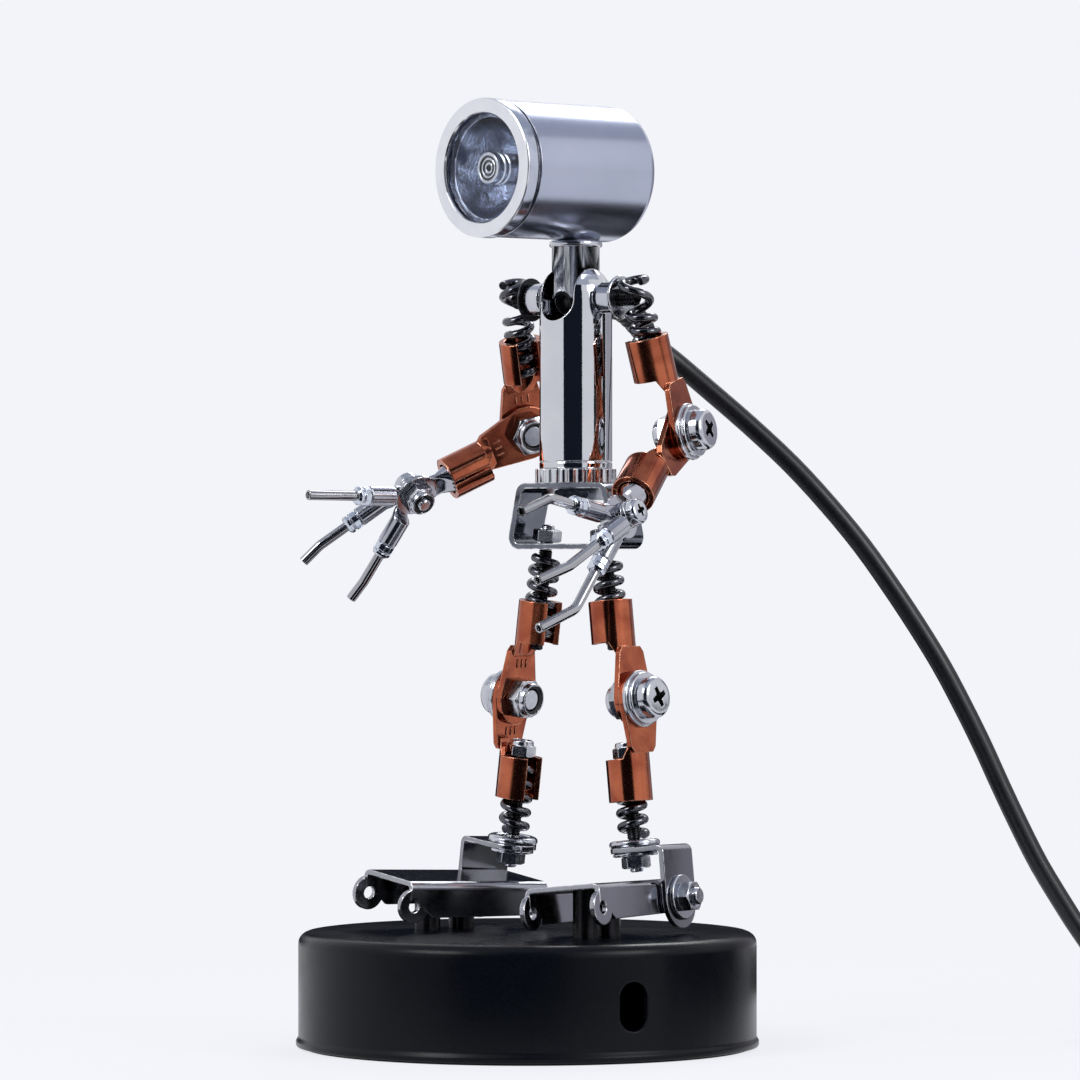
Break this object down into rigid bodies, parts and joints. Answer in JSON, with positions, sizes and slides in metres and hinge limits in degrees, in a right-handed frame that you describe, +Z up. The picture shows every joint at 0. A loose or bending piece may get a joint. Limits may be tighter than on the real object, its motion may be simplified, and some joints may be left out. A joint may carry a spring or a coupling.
{
  "type": "robot shaped desk lamp",
  "caption": "Desk lamp shaped as a small robot: lamp head on a chrome torso, jointed lug arms with fingers, sprung lug legs on a round weighted base, and a power lead.",
  "frame": {"origin": "centre of the base's underside", "axes": "+Z up, the robot faces -Y, +X is the robot's left"},
  "size_m": [0.225, 0.1833, 0.2042],
  "materials": {
    "black_coat": "matte",
    "weight_steel": "rough",
    "foam": "matte",
    "foot_nickel": "dark nickel, satin",
    "bracket_nickel": "dark nickel, satin",
    "spring_steel": "polished",
    "copper": "satin copper",
    "tinned": "bright",
    "chrome": "polished",
    "neck_aluminium": "turned",
    "head_aluminium": "satin, bluish grey",
    "bezel_bright": "turned, bright",
    "glass": "clear",
    "reflector": "metallised",
    "board": "white",
    "cord_black": "black PVC, satin",
    "tie_black": "satin",
    "zinc": "bright zinc"
  },
  "bodies": {
    "root": {"base_shell": "black_coat", "base_weight": "weight_steel", "base_pad": "foam", "foot_fasteners": "zinc", "foot_spacers": "zinc", "right_foot": "foot_nickel", "left_foot": "foot_nickel", "right_ankle_bracket": "bracket_nickel", "left_ankle_bracket": "bracket_nickel", "ankle_fasteners": "zinc", "ankle_springs": "spring_steel", "ankle_rods": "zinc", "right_shin_lug": "copper", "left_shin_lug": "copper", "right_thigh_lug": "copper", "left_thigh_lug": "copper", "knee_fasteners": "zinc", "hip_springs": "spring_steel", "hip_screws": "zinc", "pelvis_frame": "chrome", "waist_nut": "zinc", "waist_ring": "chrome", "torso_tube": "chrome", "shoulder_axle": "zinc", "shoulder_nuts": "zinc", "cord_relief": "cord_black", "cord_lead": "cord_black", "cord_coil": "cord_black", "cord_tie": "tie_black", "cord_tail": "cord_black", "usb_plug": "cord_black"},
    "neck": {"neck_post": "neck_aluminium", "head_nut": "zinc"},
    "head": {"head_shell": "head_aluminium", "head_bezel": "bezel_bright", "head_glass": "glass", "lens_tray": "reflector", "led_board": "board"},
    "right_upper_arm": {"right_shoulder_spring": "spring_steel", "right_upper_arm_lug": "copper", "right_elbow_fasteners": "zinc"},
    "right_forearm": {"right_forearm_lug": "copper"},
    "right_hand": {"right_palm_lug": "tinned", "right_wrist_fasteners": "zinc"},
    "right_finger_1": {"right_finger_1": "tinned"},
    "right_finger_2": {"right_finger_2": "tinned"},
    "right_finger_3": {"right_finger_3": "tinned"},
    "left_upper_arm": {"left_shoulder_spring": "spring_steel", "left_upper_arm_lug": "copper", "left_elbow_fasteners": "zinc"},
    "left_forearm": {"left_forearm_lug": "copper"},
    "left_hand": {"left_palm_lug": "tinned", "left_wrist_fasteners": "zinc"},
    "left_finger_1": {"left_finger_1": "tinned"},
    "left_finger_2": {"left_finger_2": "tinned"},
    "left_finger_3": {"left_finger_3": "tinned"}
  },
  "joints": [
    {"name": "head_tilt", "type": "hinge", "parent": "root", "child": "neck", "pos_m": [0.004, 0.0117, 0.1619], "axis": [1, 0, 0], "range_deg": [-8, 35]},
    {"name": "head_swivel", "type": "hinge", "parent": "neck", "child": "head", "pos_m": [0.004, 0.0117, 0.1744], "axis": [0, 0, 1], "range_deg": [-90, 90]},
    {"name": "right_shoulder", "type": "hinge", "parent": "root", "child": "right_upper_arm", "pos_m": [-0.0129, 0.0117, 0.1619], "axis": [1, 0, 0], "range_deg": [-100, 30]},
    {"name": "right_elbow", "type": "hinge", "parent": "right_upper_arm", "child": "right_forearm", "pos_m": [-0.01862, 0.02234, 0.13335], "axis": [-0.8539, 0.4707, 0.222], "range_deg": [-50, 35]},
    {"name": "right_wrist", "type": "hinge", "parent": "right_forearm", "child": "right_hand", "pos_m": [-0.02582, 0.004, 0.12286], "axis": [0.5189, 0.7376, 0.432], "range_deg": [-60, 60]},
    {"name": "right_finger_1_turn", "type": "hinge", "parent": "right_hand", "child": "right_finger_1", "pos_m": [-0.02997, -0.0019, 0.1194], "axis": [0.7962, -0.2331, -0.5584], "range_deg": [-10, 10]},
    {"name": "right_finger_2_turn", "type": "hinge", "parent": "right_hand", "child": "right_finger_2", "pos_m": [-0.02997, -0.0019, 0.1194], "axis": [0.7962, -0.2331, -0.5584], "range_deg": [-10, 10]},
    {"name": "right_finger_3_turn", "type": "hinge", "parent": "right_hand", "child": "right_finger_3", "pos_m": [-0.02997, -0.0019, 0.1194], "axis": [0.7962, -0.2331, -0.5584], "range_deg": [-10, 10]},
    {"name": "left_shoulder", "type": "hinge", "parent": "root", "child": "left_upper_arm", "pos_m": [0.0209, 0.0117, 0.1619], "axis": [1, 0, 0], "range_deg": [-100, 30]},
    {"name": "left_elbow", "type": "hinge", "parent": "left_upper_arm", "child": "left_forearm", "pos_m": [0.02678, 0.02029, 0.1327], "axis": [-0.9751, -0.181, -0.1279], "range_deg": [-50, 35]},
    {"name": "left_wrist", "type": "hinge", "parent": "left_forearm", "child": "left_hand", "pos_m": [0.02692, 0.00257, 0.11911], "axis": [-0.2214, 0.7728, 0.5948], "range_deg": [-60, 60]},
    {"name": "left_finger_1_turn", "type": "hinge", "parent": "left_hand", "child": "left_finger_1", "pos_m": [0.02869, -0.00361, 0.11435], "axis": [-0.9556, -0.0505, -0.2902], "range_deg": [-10, 10]},
    {"name": "left_finger_2_turn", "type": "hinge", "parent": "left_hand", "child": "left_finger_2", "pos_m": [0.02869, -0.00361, 0.11435], "axis": [-0.9556, -0.0505, -0.2902], "range_deg": [-10, 10]},
    {"name": "left_finger_3_turn", "type": "hinge", "parent": "left_hand", "child": "left_finger_3", "pos_m": [0.02869, -0.00361, 0.11435], "axis": [-0.9556, -0.0505, -0.2902], "range_deg": [-10, 10]}
  ]
}
